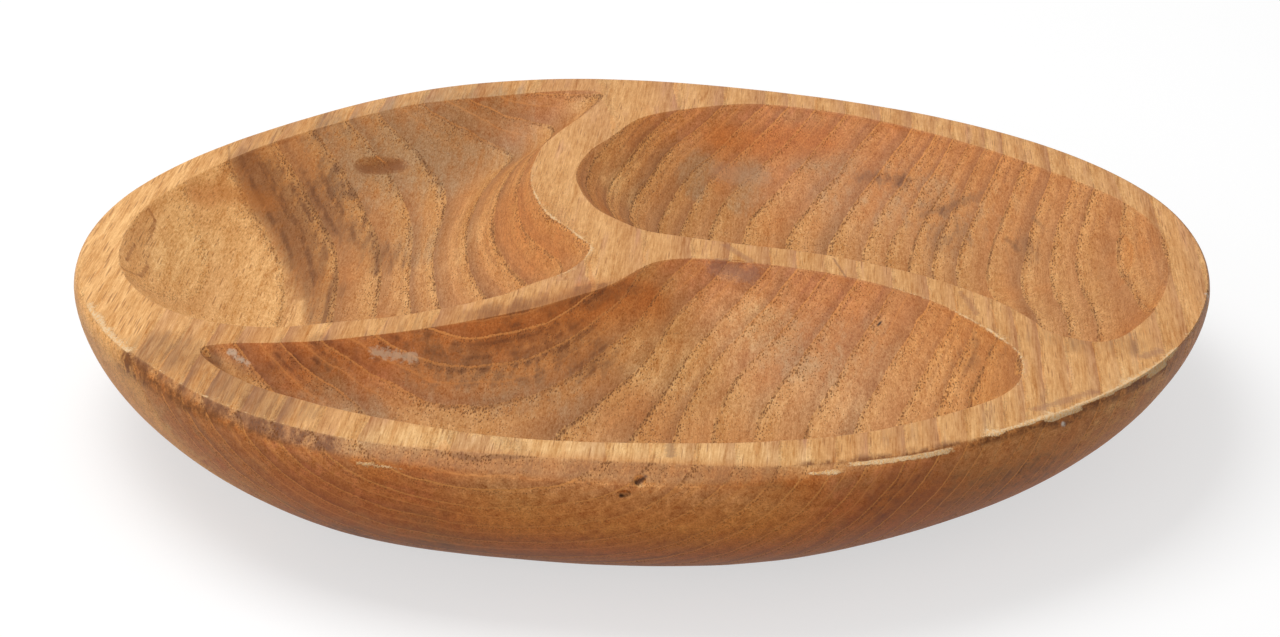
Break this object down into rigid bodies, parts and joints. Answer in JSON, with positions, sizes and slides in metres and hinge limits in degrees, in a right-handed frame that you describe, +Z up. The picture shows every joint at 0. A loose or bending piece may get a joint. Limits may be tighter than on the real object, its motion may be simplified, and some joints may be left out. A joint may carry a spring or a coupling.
{
  "type": "divided serving tray",
  "caption": "Round low wooden tray carved from one board, with comma-shaped pockets that swirl between curved dividers inside a flat rim.",
  "frame": {"origin": "middle of the flat foot, on the surface that the tray stands on", "axes": "+Z up, +Y towards the tray's back as pictured, +X to the picture's right"},
  "size_m": [0.3061, 0.3047, 0.042],
  "materials": {
    "wood": "oiled teak, satin, worn at the rim"
  },
  "bodies": {
    "root": {"tray_body": "wood"}
  },
  "joints": []
}
